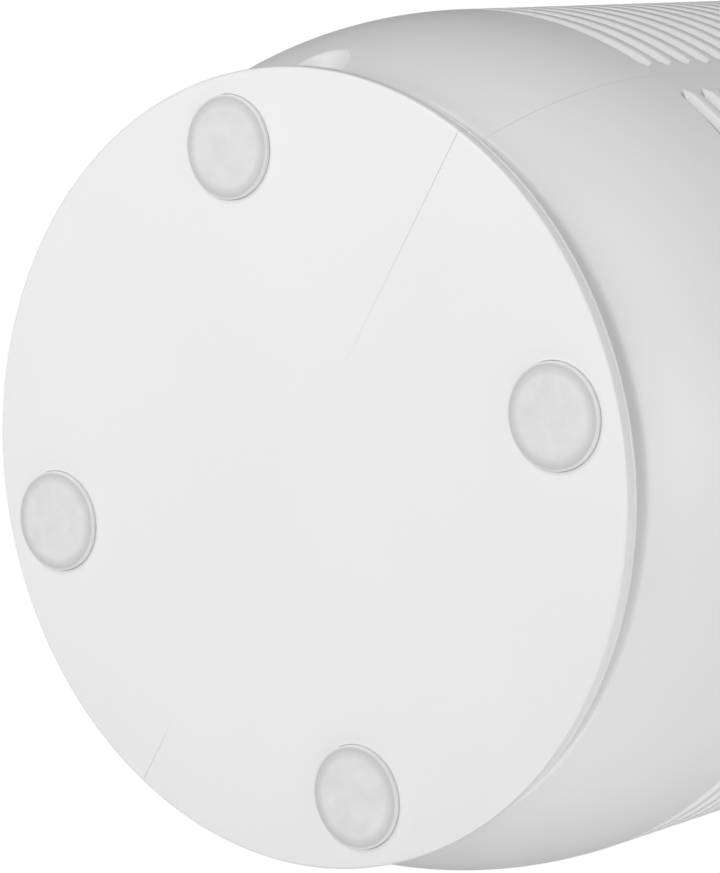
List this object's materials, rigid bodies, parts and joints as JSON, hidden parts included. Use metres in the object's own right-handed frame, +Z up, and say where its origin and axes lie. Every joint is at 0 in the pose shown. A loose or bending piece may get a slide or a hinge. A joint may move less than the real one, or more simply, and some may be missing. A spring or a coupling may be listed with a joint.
{
  "type": "room air purifier",
  "caption": "Round room air purifier: two louvred half shells, drum filter, centrifugal fan, top outlet grille with push buttons, four round feet.",
  "frame": {"origin": "centre of the circle that the four feet stand on, on the floor", "axes": "+Z up the purifier's own axis, front at -Y, +X to the right seen from the front; the shell seams lie at +X and -X"},
  "size_m": [0.18, 0.18, 0.29],
  "materials": {
    "shell_white": "fine satin gloss, moulded",
    "grille_white": "satin",
    "panel_white": "gloss",
    "button_white": "satin",
    "foot_silicone": "matt silicone",
    "grey_plastic": "matt",
    "dark_plastic": "matt",
    "fan_plastic": "satin",
    "connector_white": "matt",
    "light_guide": "diffusing",
    "steel": "plated",
    "motor_metal": "drawn can",
    "circuit_board": "solder mask",
    "filter_paper": "pleated glass-fibre paper",
    "prefilter_mesh": "nylon mesh",
    "carbon": "activated carbon felt",
    "seal_foam": "closed-cell foam",
    "tab_fabric": "woven tape"
  },
  "bodies": {
    "housing": {"front_shell": "shell_white", "foot_front_left": "foot_silicone", "foot_front_right": "foot_silicone", "base_screw_left": "steel", "base_screw_right": "steel", "inner_frame": "grey_plastic", "magnet_left": "steel", "magnet_right": "steel", "main_board": "circuit_board", "power_inlet": "dark_plastic", "board_capacitor": "dark_plastic", "board_connector": "connector_white", "inlet_ring": "grey_plastic", "motor": "motor_metal", "diffuser": "grey_plastic", "fan_shroud": "grey_plastic", "top_bezel": "shell_white", "top_grille": "grille_white", "control_panel": "panel_white", "light_ring": "light_guide", "power_switch": "dark_plastic", "speed_switch": "dark_plastic", "timer_switch": "dark_plastic", "lamp_switch": "dark_plastic", "button_board": "circuit_board"},
    "cover": {"rear_cover": "shell_white", "foot_rear_right": "foot_silicone", "foot_rear_left": "foot_silicone", "strike_plate_left": "steel", "strike_plate_right": "steel"},
    "filter": {"filter_lower_cap": "dark_plastic", "filter_upper_cap": "dark_plastic", "filter_media": "filter_paper", "filter_prefilter": "prefilter_mesh", "filter_carbon": "carbon", "filter_seal": "seal_foam", "filter_pull_tab": "tab_fabric"},
    "fan": {"impeller": "fan_plastic", "motor_shaft": "steel", "shaft_nut": "steel"},
    "power_key": {"power_button": "button_white"},
    "speed_key": {"speed_button": "button_white"},
    "timer_key": {"timer_button": "button_white"},
    "lamp_key": {"lamp_button": "button_white"}
  },
  "joints": [
    {"name": "cover_slide", "type": "slide", "parent": "housing", "child": "cover", "axis": [0, 1, 0], "range_m": [0, 0.32]},
    {"name": "filter_slide", "type": "slide", "parent": "housing", "child": "filter", "axis": [0, 1, 0], "range_m": [0, 0.16]},
    {"name": "fan_spin", "type": "hinge", "parent": "housing", "child": "fan", "pos_m": [0, 0, 0.226], "axis": [0, 0, 1], "continuous": true},
    {"name": "power_press", "type": "slide", "parent": "housing", "child": "power_key", "axis": [0, 0, -1], "range_m": [0, 0.0008], "stiffness_N_per_m": 1200, "springref_m": -0.0005},
    {"name": "speed_press", "type": "slide", "parent": "housing", "child": "speed_key", "axis": [0, 0, -1], "range_m": [0, 0.0008], "stiffness_N_per_m": 1200, "springref_m": -0.0005},
    {"name": "timer_press", "type": "slide", "parent": "housing", "child": "timer_key", "axis": [0, 0, -1], "range_m": [0, 0.0008], "stiffness_N_per_m": 1200, "springref_m": -0.0005},
    {"name": "lamp_press", "type": "slide", "parent": "housing", "child": "lamp_key", "axis": [0, 0, -1], "range_m": [0, 0.0008], "stiffness_N_per_m": 1200, "springref_m": -0.0005}
  ],
  "couplings": [
    {"joint": "filter_slide", "follows": "cover_slide", "ratio": 0.5}
  ]
}
